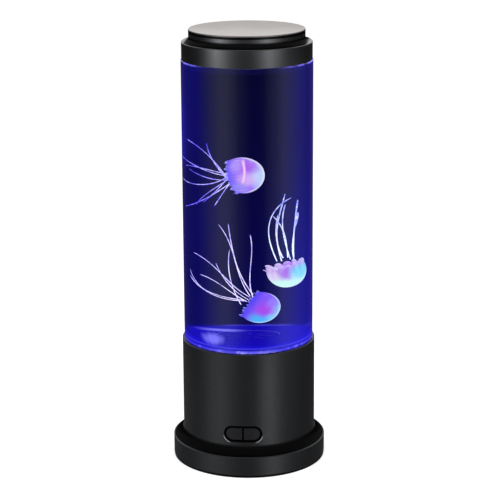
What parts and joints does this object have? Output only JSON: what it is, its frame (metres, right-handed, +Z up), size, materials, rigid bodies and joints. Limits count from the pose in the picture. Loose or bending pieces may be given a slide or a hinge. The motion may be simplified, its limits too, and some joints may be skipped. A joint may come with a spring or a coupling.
{
  "type": "jellyfish lamp",
  "caption": "Round upright water tank with drifting jellyfish shapes, a lift-off stepped lid with a metal disc, and a flanged base with two keys, a light ring and a magnetic stirrer.",
  "frame": {"origin": "on the table, at the middle of the round foot, on the tank's axis", "axes": "+Z up along the tank, the keys face -Y, the power inlet faces +Y, +X to the viewer's right"},
  "size_m": [0.12, 0.12, 0.34],
  "materials": {
    "black_gloss": "moulded, soft gloss",
    "black_satin": "fine texture",
    "key_black": "gloss",
    "rubber_black": "matt",
    "silicone_clear": "satin",
    "steel_zinc": "zinc plated",
    "steel_bright": "bright",
    "board_green": "solder mask",
    "board_white": "white solder mask",
    "chip_pale": "clear over phosphor",
    "white_gloss": "gloss",
    "opal": "opal",
    "brass": "plain",
    "disc_metal": "brushed, bevelled rim",
    "tube_clear": "polished acrylic",
    "floor_clear": "polished acrylic",
    "guard_clear": "clear acrylic",
    "wheel_white": "gloss",
    "bell_violet": "soft translucent silicone",
    "bell_pink": "soft translucent silicone",
    "bell_cyan": "soft translucent silicone"
  },
  "bodies": {
    "base": {"base_flange": "black_gloss", "bottom_plate": "black_satin", "foot_pads": "rubber_black", "bottom_screws": "steel_zinc", "base_housing": "black_gloss", "control_board": "board_green", "tact_switches": "black_satin", "power_inlet": "black_satin", "inlet_pin": "steel_bright", "inlet_nut": "steel_zinc", "motor_bracket": "steel_zinc", "bracket_screws": "steel_zinc", "motor_can": "steel_bright", "motor_endcap": "black_satin", "motor_tabs": "brass", "motor_screws": "steel_zinc", "led_board": "board_white", "light_chips": "chip_pale", "light_reflector": "white_gloss", "light_screws": "steel_zinc", "diffuser_plate": "opal", "tank_gasket": "silicone_clear", "tank_tube": "tube_clear", "tank_floor": "floor_clear", "impeller_axle": "steel_bright", "impeller_guard": "guard_clear"},
    "drive": {"motor_shaft": "steel_bright", "magnet_carrier": "white_gloss", "drive_magnets": "steel_bright"},
    "impeller": {"impeller_wheel": "wheel_white", "impeller_magnets": "steel_bright"},
    "lid": {"lid_shell": "black_gloss", "lid_plug": "black_satin", "lid_seal": "silicone_clear", "lid_disc": "disc_metal"},
    "key_left": {"button_left": "key_black"},
    "key_right": {"button_right": "key_black"},
    "jellyfish_upper": {"upper_bell": "bell_violet", "upper_frill": "bell_violet", "upper_strands": "bell_violet"},
    "jellyfish_right": {"right_bell": "bell_pink", "right_frill": "bell_pink", "right_strands": "bell_pink"},
    "jellyfish_lower": {"lower_bell": "bell_cyan", "lower_frill": "bell_cyan", "lower_strands": "bell_cyan"}
  },
  "joints": [
    {"name": "drive_spin", "type": "hinge", "parent": "base", "child": "drive", "pos_m": [0, 0, 0.085], "axis": [0, 0, 1], "continuous": true},
    {"name": "impeller_spin", "type": "hinge", "parent": "base", "child": "impeller", "pos_m": [0, 0, 0.096], "axis": [0, 0, 1], "continuous": true},
    {"name": "lid_lift", "type": "slide", "parent": "base", "child": "lid", "axis": [0, 0, 1], "range_m": [0, 0.06]},
    {"name": "key_left_press", "type": "slide", "parent": "base", "child": "key_left", "axis": [0, 1, 0], "range_m": [0, 0.0006], "stiffness_N_per_m": 600, "springref_m": -0.0008},
    {"name": "key_right_press", "type": "slide", "parent": "base", "child": "key_right", "axis": [0, 1, 0], "range_m": [0, 0.0006], "stiffness_N_per_m": 600, "springref_m": -0.0008},
    {"name": "upper_drift", "type": "hinge", "parent": "base", "child": "jellyfish_upper", "pos_m": [0, 0, 0.226], "axis": [0, 0, 1], "continuous": true},
    {"name": "right_drift", "type": "hinge", "parent": "base", "child": "jellyfish_right", "pos_m": [0, 0, 0.148], "axis": [0, 0, 1], "continuous": true},
    {"name": "lower_drift", "type": "hinge", "parent": "base", "child": "jellyfish_lower", "pos_m": [0, 0, 0.12], "axis": [0, 0, 1], "continuous": true}
  ],
  "couplings": [
    {"joint": "impeller_spin", "follows": "drive_spin", "ratio": 1},
    {"joint": "right_drift", "follows": "upper_drift", "ratio": 1},
    {"joint": "lower_drift", "follows": "upper_drift", "ratio": 1}
  ]
}
